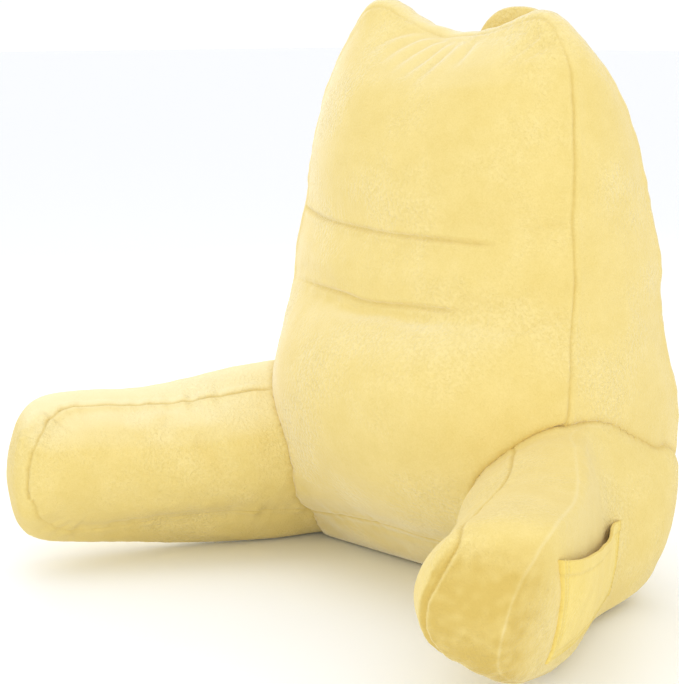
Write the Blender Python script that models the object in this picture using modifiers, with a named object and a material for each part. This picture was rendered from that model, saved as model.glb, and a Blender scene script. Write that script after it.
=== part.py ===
"""A reading pillow: a wedge-shaped backrest between two curved arms, with side pockets and a carry handle.

Units are metres. X runs to the right of someone facing the pillow, -Y is its open front and Z is up.
Each cushion is a box of panels: two shaped panels with a strip of cloth, the boxing, sewn round them.
"""
import math
from collections import namedtuple

import bmesh
import bpy
from mathutils import Vector
from mathutils.bvhtree import BVHTree

SEAM_GAP = 0.0005
SEAM_CREASE = 0.55
CLOTH_THICK = 0.002
# The tables' own zero lies this far in front of the middle of the pillow's depth.
CENTRE_Y = 0.1355
# The cages dip this far below the floor, and the floor then cuts them off flat.
FLOOR_SINK = 0.004
# A panel's crown: the higher the power, the flatter its middle.
FACE_CROWN = 2.6
SAG_CURVE = 2.0
ARM_CROWN = 2.4

# Backrest. A row is one level of the front and back panels, from the floor to the top seam.
# half: half width; front, rear: where the two seams lie; crown, hump: how far the panels stand out
# beyond them in the middle; sag: how far the middle of the row hangs below its ends.
Level = namedtuple("Level", "z half front rear crown hump sag")
BACKREST_LEVELS = [
    Level(0.038, 0.180, -0.090, 0.044, 0.000, 0.000, 0.000),
    Level(0.070, 0.196, -0.110, 0.058, 0.030, 0.012, 0.000),
    Level(0.120, 0.202, -0.116, 0.072, 0.056, 0.024, 0.000),
    Level(0.166, 0.204, -0.114, 0.080, 0.074, 0.034, 0.000),
    Level(0.212, 0.207, -0.104, 0.070, 0.086, 0.040, 0.004),
    Level(0.250, 0.199, -0.096, 0.059, 0.082, 0.044, 0.010),
    Level(0.283, 0.195, -0.089, 0.056, 0.068, 0.046, 0.016),
    Level(0.304, 0.192, -0.085, 0.054, 0.050, 0.047, 0.020),
    Level(0.325, 0.194, -0.083, 0.053, 0.060, 0.048, 0.021),
    Level(0.352, 0.191, -0.080, 0.051, 0.061, 0.048, 0.023),
    Level(0.377, 0.184, -0.078, 0.049, 0.046, 0.047, 0.023),
    Level(0.402, 0.184, -0.075, 0.045, 0.058, 0.046, 0.018),
    Level(0.444, 0.179, -0.070, 0.036, 0.064, 0.043, 0.010),
    Level(0.492, 0.170, -0.063, 0.020, 0.058, 0.037, 0.006),
    Level(0.534, 0.158, -0.056, -0.002, 0.040, 0.028, 0.004),
    Level(0.568, 0.126, -0.051, -0.022, 0.000, 0.000, 0.000),
]
# The top seam, from the left ear to the right one: how far each column of the top rows is lifted.
Ear = namedtuple("Ear", "across lift")
TOP_SEAM = [
    Ear(-1.00, 0.006), Ear(-0.80, 0.016), Ear(-0.55, 0.006), Ear(-0.25, -0.008), Ear(0.00, -0.015),
    Ear(0.25, -0.014), Ear(0.55, -0.007), Ear(0.80, 0.002), Ear(1.00, 0.000),
]
BACKREST_COLUMNS = 14
BACKREST_LAYERS = 5
BACKREST_UNDERSIDE = 0.075
BACKREST_SIDE_BULGE = 0.009
BACKREST_TOP_BULGE = 0.006
# The ears lift only the rows above this share of the height.
EARS_FROM = 0.72
EARS_CURVE = 1.5

# Right arm. A row is one upright section, from the rear end to the nose. x, y: middle of the strip;
# splay: degrees the section is turned outward; half: half the strip's width; top, crest: heights of the
# inner and outer upper seams; base, foot: of the inner and outer lower seams; setback: how far the
# section's ends lie behind its middle; inner, outer: how far the side panels stand out in the middle;
# flare: how much farther out the outer lower seam lies than the upper one; keel: how far the strip
# hangs below its lower seams.
Section = namedtuple("Section", "x y splay half top crest base foot setback inner outer flare keel")
ARM_SECTIONS = [
    Section(0.163, 0.084, 0, 0.030, 0.140, 0.140, 0.085, 0.080, 0.012, 0.000, 0.000, 0.000, 0.010),
    Section(0.163, 0.062, 2, 0.034, 0.148, 0.148, 0.055, 0.050, 0.004, 0.006, 0.014, 0.004, 0.026),
    Section(0.165, 0.024, 6, 0.037, 0.158, 0.160, 0.046, 0.030, 0.000, 0.014, 0.024, 0.012, 0.034),
    Section(0.169, -0.022, 14, 0.036, 0.170, 0.178, 0.044, 0.018, 0.000, 0.022, 0.026, 0.018, 0.034),
    Section(0.176, -0.068, 26, 0.034, 0.182, 0.198, 0.046, 0.014, 0.000, 0.034, 0.022, 0.020, 0.030),
    Section(0.190, -0.116, 37, 0.032, 0.178, 0.194, 0.046, 0.014, 0.000, 0.046, 0.018, 0.016, 0.030),
    Section(0.223, -0.156, 38, 0.034, 0.174, 0.188, 0.046, 0.016, 0.000, 0.050, 0.014, 0.006, 0.030),
    Section(0.253, -0.192, 37, 0.036, 0.170, 0.178, 0.046, 0.018, 0.000, 0.050, 0.012, -0.006, 0.030),
    Section(0.278, -0.230, 35, 0.037, 0.169, 0.170, 0.047, 0.022, 0.000, 0.048, 0.012, -0.014, 0.026),
    Section(0.301, -0.268, 34, 0.036, 0.172, 0.170, 0.049, 0.030, 0.000, 0.046, 0.012, -0.020, 0.020),
    Section(0.319, -0.304, 33, 0.035, 0.174, 0.172, 0.053, 0.038, 0.000, 0.042, 0.012, -0.022, 0.016),
    Section(0.327, -0.336, 32, 0.036, 0.172, 0.171, 0.059, 0.046, 0.002, 0.032, 0.010, -0.020, 0.013),
    Section(0.327, -0.364, 32, 0.036, 0.158, 0.157, 0.074, 0.062, 0.010, 0.000, 0.000, -0.014, 0.008),
]
ARM_ROWS = 6
ARM_LAYERS = 4
ARM_ARCH = 0.008
ARM_KEEL_SHIFT = 0.6
ARM_END_BULGE = 0.008
END_BULGE_TAPER = 0.5

# Pockets, as patches of the right arm's outer side: four corners by their depth and height.
Corner = namedtuple("Corner", "y z")
PHONE_POCKET = (Corner(-0.301, 0.143), Corner(-0.286, 0.044), Corner(-0.078, 0.034), Corner(-0.064, 0.106))
TABLET_POCKET = (Corner(-0.300, 0.140), Corner(-0.286, 0.044), Corner(-0.078, 0.034), Corner(-0.066, 0.118))
POCKET_GRID = (14, 9)
POCKET_GAP = 0.0009
POCKET_MOUTH = 0.014
HEM_THICK = 0.0015
MOUTH_CURVE = 1.4
BESIDE_ARM = 0.6

# Carry handle: a plump strap that arches over the middle of the top seam, behind it.
HANDLE_X = 0.024
HANDLE_Y = 0.028
HANDLE_SPAN = 0.112
HANDLE_FOOT_Z = 0.520
HANDLE_TOP_Z = 0.5835
HANDLE_WIDE = 0.024
HANDLE_THICK = 0.013
HANDLE_COUNTS = (12, 2, 3)
HANDLE_ARCH = 3
HANDLE_EDGE = 0.25

PLUSH_YELLOW = (0.86, 0.72, 0.28, 1.0)


def between(rows, key, at, column):
    """The value of a column where the key column of sorted rows reaches `at`."""
    for low, high in zip(rows, rows[1:]):
        start = getattr(low, key)
        end = getattr(high, key)
        if at <= end or high is rows[-1]:
            share = (at - start) / (end - start)
            return getattr(low, column) * (1 - share) + getattr(high, column) * share


def row_at(rows, share):
    """A row worked out between its neighbours, share running from 0 at the first to 1 at the last."""
    place = max(0.0, min(1.0, share)) * (len(rows) - 1)
    index = min(int(place), len(rows) - 2)
    blend = place - index
    pairs = zip(rows[index], rows[index + 1])
    return type(rows[0])(*(low * (1 - blend) + high * blend for low, high in pairs))


def dome(across, power):
    """1 in the middle of a panel, falling to 0 at its seams."""
    return 1.0 - min(1.0, abs(across)) ** power


def cushion(name, counts, place):
    """A cube grid with counts segments along x, y and z, moved point by point; its edges are the seams."""
    bm = bmesh.new()
    bmesh.ops.create_cube(bm, size=2.0)
    for axis, count in enumerate(counts):
        along = [e for e in bm.edges if abs(e.verts[0].co[axis] - e.verts[1].co[axis]) > 1e-6]
        bmesh.ops.subdivide_edges(bm, edges=along, cuts=count - 1, use_grid_fill=True)
    crease = bm.edges.layers.float.new("crease_edge")
    layer_axis = counts.index(min(counts))
    for edge in bm.edges:
        ends = [v.co for v in edge.verts]
        on_panel = all(abs(abs(co[layer_axis]) - 1.0) < 1e-5 for co in ends)
        others = [i for i in range(3) if i != layer_axis]
        on_rim = any(all(abs(abs(co[i]) - 1.0) < 1e-5 for co in ends) for i in others)
        if on_panel and on_rim:
            edge[crease] = SEAM_CREASE
    for vert in bm.verts:
        vert.co = place(*vert.co)
    bm.normal_update()
    bmesh.ops.recalc_face_normals(bm, faces=bm.faces)
    return add_object(name, bm)


def add_object(name, bm):
    """The bmesh as a named object with its own plush material."""
    mesh = bpy.data.meshes.new(name)
    bm.to_mesh(mesh)
    bm.free()
    piece = bpy.data.objects.new(name, mesh)
    material = bpy.data.materials.new(name + "_plush")
    material.use_nodes = True
    shader = material.node_tree.nodes["Principled BSDF"]
    shader.inputs["Base Color"].default_value = PLUSH_YELLOW
    shader.inputs["Roughness"].default_value = 0.9
    mesh.materials.append(material)
    pillow.objects.link(piece)
    return piece


def soften(piece):
    """Round the cage with one level of subdivision."""
    smooth = piece.modifiers.new("soften", "SUBSURF")
    smooth.levels = 1
    smooth.render_levels = 1


def backrest_point(across, layer, up):
    """across -1 left to 1 right, layer -1 front to 1 rear, up -1 floor to 1 top seam."""
    row = row_at(BACKREST_LEVELS, (up + 1) / 2)
    near_top = max(0.0, (up - EARS_FROM) / (1 - EARS_FROM)) ** EARS_CURVE
    z = row.z - row.sag * dome(across, SAG_CURVE) + near_top * between(TOP_SEAM, "across", across, "lift")
    side = BACKREST_SIDE_BULGE * (1 - layer * layer) if abs(across) > 0.999 else 0.0
    x = across * (row.half + side / max(abs(across), 1e-6))
    front = row.front - row.crown * dome(across, FACE_CROWN)
    rear = row.rear + row.hump * dome(across, FACE_CROWN)
    y = front + (rear - front) * (layer + 1) / 2
    if up > 0.999:
        z += BACKREST_TOP_BULGE * (1 - layer * layer)
    if up < -0.999:
        z -= BACKREST_UNDERSIDE * (1 - layer * layer)
    return Vector((x, y + CENTRE_Y, max(z, -FLOOR_SINK)))


def arm_point(side, layer, along, up):
    """layer -1 inner to 1 outer, along -1 rear to 1 nose, up -1 base to 1 top; side 1 right, -1 left."""
    row = row_at(ARM_SECTIONS, (along + 1) / 2)
    turn = math.radians(row.splay)
    outward = Vector((math.cos(turn), math.sin(turn)))
    ahead = Vector((math.sin(turn), -math.cos(turn)))
    forward = 1 if along > 0 else -1
    reach = -row.setback * up * up
    outer_share = (layer + 1) / 2
    upper = row.top + (row.crest - row.top) * outer_share
    lower = row.base + (row.foot - row.base) * outer_share
    z = lower + (upper - lower) * (up + 1) / 2
    across = layer * row.half + outer_share * row.flare * (1 - up) / 2
    bulge = 1 - layer * layer
    if abs(layer) > 0.999:
        across += layer * (row.outer if layer > 0 else row.inner) * dome(up, ARM_CROWN)
    if abs(along) > 0.999:
        reach += ARM_END_BULGE * bulge * (1 - END_BULGE_TAPER * up * up)
    if up > 0.999:
        z += ARM_ARCH * bulge
    if up < -0.999:
        z -= row.keel * bulge * (1 + ARM_KEEL_SHIFT * layer)
    flat = Vector((row.x, row.y)) + ahead * forward * reach + outward * across
    return Vector((side * flat.x, flat.y + CENTRE_Y, max(z, -FLOOR_SINK)))


def add_arm(name, side):
    """One arm; the cube's x is the layer, its y runs back to front and its z up."""
    arm = cushion(name, (ARM_LAYERS, len(ARM_SECTIONS) - 1, ARM_ROWS),
                  lambda layer, back, up: arm_point(side, layer, -back, up))
    soften(arm)
    return arm


def surface_of(piece):
    """The finished surface of a piece, to lay others on."""
    bpy.context.view_layer.update()
    return BVHTree.FromObject(piece, bpy.context.evaluated_depsgraph_get())


def cut_with(piece, cutter):
    """Take the cutter's shape out of a piece."""
    cut = piece.modifiers.new("cut_" + cutter.name, "BOOLEAN")
    cut.operation = "DIFFERENCE"
    cut.solver = "EXACT"
    cut.object = cutter


def cut_clear(piece, other):
    """Cut a piece back to leave a seam's gap round the other."""
    cutter = other.copy()
    cutter.name = "clearance_" + piece.name + "_" + other.name
    cutters.objects.link(cutter)
    cutter.hide_render = True
    cutter.display_type = "WIRE"
    swell = cutter.modifiers.new("swell", "DISPLACE")
    swell.mid_level = 0.0
    swell.strength = SEAM_GAP
    cut_with(piece, cutter)


def add_floor():
    """A block under the floor, which gives each cushion its flat rest."""
    bpy.ops.mesh.primitive_cube_add(size=1.0, location=(0.0, 0.0, -0.5))
    block = bpy.context.object
    block.name = "floor_block"
    block.hide_render = True
    block.display_type = "WIRE"
    for home in list(block.users_collection):
        home.objects.unlink(block)
    cutters.objects.link(block)
    return block


def add_pocket(name, side, arm, corners):
    """A cloth patch on an arm's outer side: sewn at its sides and base, standing open at the top."""
    top_front, base_front, base_rear, top_rear = corners
    surface = surface_of(arm)
    columns, rows = POCKET_GRID
    bm = bmesh.new()
    sheets = []
    for thick in (0.0, 1.0):
        grid = []
        for j in range(rows + 1):
            up = j / rows
            line = []
            for i in range(columns + 1):
                back = i / columns
                front_y = base_front.y + (top_front.y - base_front.y) * up
                rear_y = base_rear.y + (top_rear.y - base_rear.y) * up
                front_z = base_front.z + (top_front.z - base_front.z) * up
                rear_z = base_rear.z + (top_rear.z - base_rear.z) * up
                y = front_y + (rear_y - front_y) * back + CENTRE_Y
                z = front_z + (rear_z - front_z) * back
                start = Vector((side * BESIDE_ARM, y, z))
                hit, normal, _, _ = surface.ray_cast(start, Vector((-side, 0, 0)))
                loose = dome(2 * back - 1, SAG_CURVE) * up ** MOUTH_CURVE
                sheet = CLOTH_THICK + (HEM_THICK if j >= rows - 1 else 0.0)
                stand = POCKET_GAP + POCKET_MOUTH * loose + thick * sheet
                line.append(bm.verts.new(hit + normal * stand))
            grid.append(line)
        sheets.append(grid)
    inner, outer = sheets
    for grid, flip in ((inner, True), (outer, False)):
        for j in range(rows):
            for i in range(columns):
                quad = [grid[j][i], grid[j][i + 1], grid[j + 1][i + 1], grid[j + 1][i]]
                bm.faces.new(quad[::-1] if flip else quad)
    rim = [(0, i) for i in range(columns)] + [(j, columns) for j in range(rows)]
    rim += [(rows, i) for i in range(columns, 0, -1)] + [(j, 0) for j in range(rows, 0, -1)]
    for (j, i), (q, p) in zip(rim, rim[1:] + rim[:1]):
        bm.faces.new([outer[j][i], inner[j][i], inner[q][p], outer[q][p]])
    bmesh.ops.recalc_face_normals(bm, faces=bm.faces)
    return add_object(name, bm)


def handle_point(along, layer, across):
    """along -1 left foot to 1 right foot, layer front to rear, across the strap's underside to its top."""
    height = HANDLE_TOP_Z - HANDLE_WIDE / 2 - HANDLE_FOOT_Z
    half_span = HANDLE_SPAN / 2
    arch = Vector((along * half_span, HANDLE_FOOT_Z + height * (1 - abs(along) ** HANDLE_ARCH)))
    fall = HANDLE_ARCH * height * abs(along) ** (HANDLE_ARCH - 1) / half_span
    slope = Vector((1.0, -fall if along > 0 else fall))
    outward = Vector((-slope.y, slope.x)).normalized()
    spot = arch + outward * across * HANDLE_WIDE / 2
    plump = HANDLE_THICK / 2 * (1 - HANDLE_EDGE * across * across)
    return Vector((HANDLE_X + spot.x, HANDLE_Y + layer * plump + CENTRE_Y, spot.y))


for old in list(bpy.data.objects):
    bpy.data.objects.remove(old, do_unlink=True)
pillow = bpy.data.collections.new("Reading pillow")
cutters = bpy.data.collections.new("Cutters")
bpy.context.scene.collection.children.link(pillow)
bpy.context.scene.collection.children.link(cutters)

floor_block = add_floor()
arm_right = add_arm("arm_right", 1)
arm_left = add_arm("arm_left", -1)
phone_pocket = add_pocket("phone_pocket", 1, arm_right, PHONE_POCKET)
tablet_pocket = add_pocket("tablet_pocket", -1, arm_left, TABLET_POCKET)
backrest_counts = (BACKREST_COLUMNS, BACKREST_LAYERS, len(BACKREST_LEVELS) - 1)
backrest = cushion("backrest", backrest_counts, backrest_point)
soften(backrest)
handle = cushion("handle", HANDLE_COUNTS, handle_point)
soften(handle)
cut_clear(handle, backrest)
cut_clear(backrest, arm_right)
cut_clear(backrest, arm_left)
for filled in (backrest, arm_right, arm_left):
    cut_with(filled, floor_block)
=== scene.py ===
import math

import bmesh
import bpy
import numpy as np
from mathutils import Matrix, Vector, noise
from mathutils.bvhtree import BVHTree
from mathutils.kdtree import KDTree


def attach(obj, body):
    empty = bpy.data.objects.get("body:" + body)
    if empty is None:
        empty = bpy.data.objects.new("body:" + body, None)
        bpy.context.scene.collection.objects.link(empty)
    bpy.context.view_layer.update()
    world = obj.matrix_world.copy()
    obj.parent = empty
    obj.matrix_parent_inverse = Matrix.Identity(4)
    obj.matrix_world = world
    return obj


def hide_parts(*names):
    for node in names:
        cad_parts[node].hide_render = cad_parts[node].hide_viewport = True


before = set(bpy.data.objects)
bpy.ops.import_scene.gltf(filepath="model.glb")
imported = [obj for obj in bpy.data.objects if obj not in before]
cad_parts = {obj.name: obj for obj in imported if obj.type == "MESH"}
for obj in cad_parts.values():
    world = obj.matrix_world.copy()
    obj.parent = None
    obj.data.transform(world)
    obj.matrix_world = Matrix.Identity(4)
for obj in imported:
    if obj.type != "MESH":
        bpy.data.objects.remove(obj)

scene = bpy.context.scene
scene.view_settings.view_transform = "Standard"
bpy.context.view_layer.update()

# camera, floor and light

shot = {
    "place": (1.2017, -1.2278, 0.5657),
    "tilt": 79.61,
    "turn": 45.94,
    "lens": 92.98,
    "shiftX": -0.003,
    "shiftY": 0.0053,
}


def aimedAt(place, target):
    return (Vector(target) - Vector(place)).to_track_quat("-Z", "Y").to_euler()


def addCamera():
    data = bpy.data.cameras.new("photoCamera")
    camera = bpy.data.objects.new("photoCamera", data)
    scene.collection.objects.link(camera)
    camera.location = shot["place"]
    camera.rotation_euler = (math.radians(shot["tilt"]), 0, math.radians(shot["turn"]))
    data.sensor_fit = "HORIZONTAL"
    data.sensor_width = 36
    data.lens = shot["lens"]
    data.shift_x = shot["shiftX"]
    data.shift_y = shot["shiftY"]
    scene.camera = camera


# power in watts, width in metres
lamps = {
    "keyLamp": {"place": (-1.7, -1.6, 1.5), "power": 2.5, "width": 1.5},
    "rimLamp": {"place": (-2.2, 0.9, 1.0), "power": 11, "width": 1.1},
    "topLamp": {"place": (-0.5, -0.2, 2.6), "power": 7, "width": 1.6},
    "sideLamp": {"place": (2.6, 0.4, 1.2), "power": 6.5, "width": 1.4},
    "lowLamp": {"place": (1.5, -2.1, 0.16), "power": 15, "width": 1.2},
}
studio = {
    "aim": (0, 0, 0.22),
    "worldStrength": 1.02,
    "worldColour": (1.0, 1.0, 1.0),
    "floorColour": (0.945, 0.962, 0.985),
    "floorSize": 60,
    "floorRoughness": 0.8,
    "floorShine": 0.1,
}


def addStudio():
    for name, lamp in lamps.items():
        data = bpy.data.lights.new(name, "AREA")
        data.energy = lamp["power"]
        data.size = lamp["width"]
        holder = bpy.data.objects.new(name, data)
        scene.collection.objects.link(holder)
        holder.location = lamp["place"]
        holder.rotation_euler = aimedAt(lamp["place"], studio["aim"])
    world = bpy.data.worlds.new("softBox")
    scene.world = world
    world.use_nodes = True
    backdrop = world.node_tree.nodes["Background"]
    backdrop.inputs["Color"].default_value = (*studio["worldColour"], 1)
    backdrop.inputs["Strength"].default_value = studio["worldStrength"]
    bpy.ops.mesh.primitive_plane_add(size=studio["floorSize"], location=(0, 0, 0))
    floor = bpy.context.object
    floor.name = "floor"
    paint = bpy.data.materials.new("paleFloor")
    paint.use_nodes = True
    shader = paint.node_tree.nodes["Principled BSDF"]
    shader.inputs["Base Color"].default_value = (*studio["floorColour"], 1)
    shader.inputs["Roughness"].default_value = studio["floorRoughness"]
    shader.inputs["Specular IOR Level"].default_value = studio["floorShine"]
    floor.data.materials.append(paint)


addCamera()
addStudio()
print("stage: camera, floor and light")

# plush

plush = {
    "lit": (0.84, 0.685, 0.285),
    "shade": (0.735, 0.575, 0.190),
    # colour of the darker seam lines and of the painted shade in folds, creases, the arms' front ends and the
    # pockets' edges
    "crease": (0.62, 0.45, 0.12),
    # painted highlight colour, for up-facing cover and ridged seams
    "paintedHighlight": (0.95, 0.88, 0.60),
    "roughness": 0.94,
    "sheen": 0.75,
    "sheenRoughness": 0.42,
    "sheenTint": (1.0, 0.98, 0.92),
    "shine": 0.15,
    "pileScale": 700,
    "pebbleScale": 290,
    "patchScale": 9.0,
    "streakScale": 38.0,
    # where each cloud starts and ends, and what it is turned into
    "patchRange": (0.45, 0.63, 0.10, 1.0),
    "pebbleRange": (0.34, 0.66, 0.0, 1.0),
    "pileRange": (0.3, 0.7, 0.0, 1.0),
    "broadRange": (0.38, 0.62, 0.0, 1.0),
    "napShare": 0.60,
    "pileShare": 0.35,
    "broadShare": 0.40,
    "pileBump": 0.45,
    "pileDepth": 0.0010,
    "pebbleBump": 0.40,
    "pebbleDepth": 0.0030,
}


def plushMaterial(name, look):
    material = bpy.data.materials.new(name)
    material.use_nodes = True
    tree = material.node_tree
    nodes, links = tree.nodes, tree.links
    shader = nodes["Principled BSDF"]
    shader.inputs["Roughness"].default_value = look["roughness"]
    shader.inputs["Sheen Weight"].default_value = look["sheen"]
    shader.inputs["Sheen Roughness"].default_value = look["sheenRoughness"]
    shader.inputs["Sheen Tint"].default_value = (*look["sheenTint"], 1)
    shader.inputs["Specular IOR Level"].default_value = look["shine"]
    place = nodes.new("ShaderNodeTexCoord")

    def cloud(scale, detail, rough=0.55):
        node = nodes.new("ShaderNodeTexNoise")
        node.inputs["Scale"].default_value = scale
        node.inputs["Detail"].default_value = detail
        node.inputs["Roughness"].default_value = rough
        links.new(place.outputs["Object"], node.inputs["Vector"])
        return node.outputs["Fac"]

    def ranged(source, limits):
        node = nodes.new("ShaderNodeMapRange")
        for socket, value in zip(("From Min", "From Max", "To Min", "To Max"), limits):
            node.inputs[socket].default_value = value
        links.new(source, node.inputs["Value"])
        return node.outputs["Result"]

    def combined(kind, a, b):
        node = nodes.new("ShaderNodeMath")
        node.operation = kind
        for slot, value in zip(node.inputs, (a, b)):
            if isinstance(value, (int, float)):
                slot.default_value = value
            else:
                links.new(value, slot)
        return node.outputs["Value"]

    def mixed(share, a, b):
        node = nodes.new("ShaderNodeMix")
        node.data_type = "RGBA"
        links.new(share, node.inputs["Factor"])
        for socket, value in ((node.inputs[6], a), (node.inputs[7], b)):
            if isinstance(value, tuple):
                socket.default_value = (*value, 1)
            else:
                links.new(value, socket)
        return node.outputs[2]

    patches = cloud(look["patchScale"], 3)
    streaks = cloud(look["streakScale"], 3, 0.65)
    pebbles = cloud(look["pebbleScale"], 2)
    pile = cloud(look["pileScale"], 2)
    nap = combined("MULTIPLY", ranged(patches, look["patchRange"]), ranged(pebbles, look["pebbleRange"]))
    napTone = combined("MULTIPLY", nap, look["napShare"])
    pileTone = combined("MULTIPLY", ranged(pile, look["pileRange"]), look["pileShare"])
    broad = combined("ADD", combined("MULTIPLY", patches, 0.5), combined("MULTIPLY", streaks, 0.5))
    broadTone = combined("MULTIPLY", ranged(broad, look["broadRange"]), look["broadShare"])
    tone = combined("ADD", combined("ADD", napTone, pileTone), broadTone)
    body = mixed(tone, look["shade"], look["lit"])
    # darker seam lines and painted shade pull the colour towards the crease colour, the painted highlight
    # towards the pale one
    seamShadeAndHighlight = {}
    for mark in ("sewn", "paintedHighlight"):
        node = nodes.new("ShaderNodeAttribute")
        node.attribute_name = mark
        seamShadeAndHighlight[mark] = node.outputs["Fac"]
    # painted highlight: paler where the cover faces up and along ridged seams
    highlighted = mixed(seamShadeAndHighlight["paintedHighlight"], body, look["paintedHighlight"])
    links.new(mixed(seamShadeAndHighlight["sewn"], highlighted, look["crease"]), shader.inputs["Base Color"])
    low = nodes.new("ShaderNodeBump")
    low.inputs["Strength"].default_value = look["pebbleBump"]
    low.inputs["Distance"].default_value = look["pebbleDepth"]
    links.new(nap, low.inputs["Height"])
    high = nodes.new("ShaderNodeBump")
    high.inputs["Strength"].default_value = look["pileBump"]
    high.inputs["Distance"].default_value = look["pileDepth"]
    links.new(pile, high.inputs["Height"])
    links.new(low.outputs["Normal"], high.inputs["Normal"])
    links.new(high.outputs["Normal"], shader.inputs["Normal"])
    return material


paleYellow = plushMaterial("paleYellowPlush", plush)
# the pockets' plush lies flatter and looks a little deeper
pocketYellow = plushMaterial("pocketPlush", {
    **plush,
    "sheen": 0.25,
    "pebbleBump": 0.25,
    "lit": (0.895, 0.715, 0.215),
    "shade": (0.79, 0.605, 0.150),
})

# the arms are stuffed tighter and their pile lies down more
armYellow = plushMaterial("armPlush", {**plush, "sheen": 0.25})

# working with meshes


def coordsOf(mesh):
    flat = np.empty(len(mesh.vertices) * 3)
    mesh.vertices.foreach_get("co", flat)
    return flat.reshape(-1, 3)


def normalsOf(mesh):
    flat = np.empty(len(mesh.vertices) * 3)
    mesh.vertex_normals.foreach_get("vector", flat)
    return flat.reshape(-1, 3)


def setCoords(mesh, coords):
    mesh.vertices.foreach_set("co", coords.ravel())
    mesh.update()


def normalsOfShape(mesh, coords):
    setCoords(mesh, coords)
    return normalsOf(mesh)


def bakeModifiers(piece):
    graph = bpy.context.evaluated_depsgraph_get()
    baked = bpy.data.meshes.new_from_object(piece.evaluated_get(graph), depsgraph=graph)
    piece.modifiers.clear()
    old = piece.data
    piece.data = baked
    bpy.data.meshes.remove(old)


def treeOf(piece):
    mesh = piece.data
    return BVHTree.FromPolygons([v.co.copy() for v in mesh.vertices], [p.vertices[:] for p in mesh.polygons])


def nodeTree(name):
    return treeOf(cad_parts[name])


def newPiece(name, mesh, material=None):
    piece = bpy.data.objects.new(name, mesh)
    scene.collection.objects.link(piece)
    mesh.materials.clear()
    mesh.materials.append(material or paleYellow)
    return piece


lineStep = 0.0015


def smoothLine(points, closed=False, step=lineStep):
    # Catmull-Rom through the points, evenly spaced
    p = np.array(points, float)
    if closed:
        ring = np.vstack([p[-1], p, p[0], p[1]])
    else:
        ring = np.vstack([2 * p[0] - p[1], p, 2 * p[-1] - p[-2]])
    dense = []
    for a, b, c, d in zip(ring, ring[1:], ring[2:], ring[3:]):
        for t in np.linspace(0, 1, 24, endpoint=False):
            straight, bend, twist = c - a, 2 * a - 5 * b + 4 * c - d, 3 * b - a - 3 * c + d
            curve = 2 * b + straight * t + bend * t * t + twist * t ** 3
            dense.append(curve / 2)
    if not closed:
        dense.append(ring[-2])
    dense = np.array(dense)
    along = np.concatenate([[0], np.cumsum(np.linalg.norm(np.diff(dense, axis=0), axis=1))])
    stops = np.arange(0, along[-1], step)
    return np.stack([np.interp(stops, along, dense[:, i]) for i in range(3)], 1)


def laidOn(line, tree):
    return np.array([tree.find_nearest(Vector(p))[0] for p in line])


def distanceTo(coords, line):
    # distance to the line and the place along it, in samples
    kd = KDTree(len(line))
    for i, p in enumerate(line):
        kd.insert(p, i)
    kd.balance()
    found = [kd.find(p)[1:] for p in coords]
    place, distance = np.array(found).T
    return distance, place


def drift(coords, scale, seed):
    shift = Vector((seed * 7.3, seed * 3.1, seed * 5.7))
    return np.array([noise.noise(Vector(p) * scale + shift) for p in coords])


evening = {"smooth": 0.60, "giveBack": -0.62}


def evened(coords, mesh, rounds):
    # takes out small steps and keeps the volume: each round smooths, then gives back as much
    count = len(mesh.edges)
    ends = np.empty(count * 2, int)
    mesh.edges.foreach_get("vertices", ends)
    a, b = ends[0::2], ends[1::2]
    number = np.bincount(a, minlength=len(coords)) + np.bincount(b, minlength=len(coords))
    coords = coords.copy()
    for turn in range(rounds * 2):
        total = np.empty_like(coords)
        for axis in range(3):
            column = coords[:, axis]
            total[:, axis] = np.bincount(a, column[b], len(coords)) + np.bincount(b, column[a], len(coords))
        share = evening["smooth"] if turn % 2 == 0 else evening["giveBack"]
        coords += share * (total / number[:, None] - coords)
    return coords


# sewing and filling

filling = {
    "frames": 20,
    "pressure": 4.0,
    "inset": 0.003,
    "cap": 0.012,
    "sink": 0.0015,
    "slide": 0.005,
    "sewnReach": 0.006,
    "heldReach": 0.010,
    "heldEdge": 1.5,
    "quality": 4,
    "ease": 0.006,
    "settle": 9,
    "footHeight": 0.07,
    "footShare": 0.25,
    "floorGap": 0.0004,
    "quickShare": 0.45,
    "quickReach": 0.03,
    "meetPull": 1.6,
}


def shellFrom(name, node, voxel):
    # the CAD solid's own shape, remeshed evenly and drawn in a little before it is filled
    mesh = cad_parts[node].data.copy()
    piece = newPiece(name, mesh)
    work = bmesh.new()
    work.from_mesh(mesh)
    bmesh.ops.remove_doubles(work, verts=work.verts, dist=0.00001)
    work.to_mesh(mesh)
    work.free()
    remesh = piece.modifiers.new("evenMesh", "REMESH")
    remesh.mode = "VOXEL"
    remesh.voxel_size = voxel
    remesh.adaptivity = 0.0
    tree = treeOf(piece)
    bakeModifiers(piece)
    coords = evened(coordsOf(piece.data), piece.data, 3)
    coords = np.array([tree.find_nearest(Vector(p))[0] for p in coords])
    setCoords(piece.data, evened(coords, piece.data, filling["settle"]))
    return piece


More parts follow.
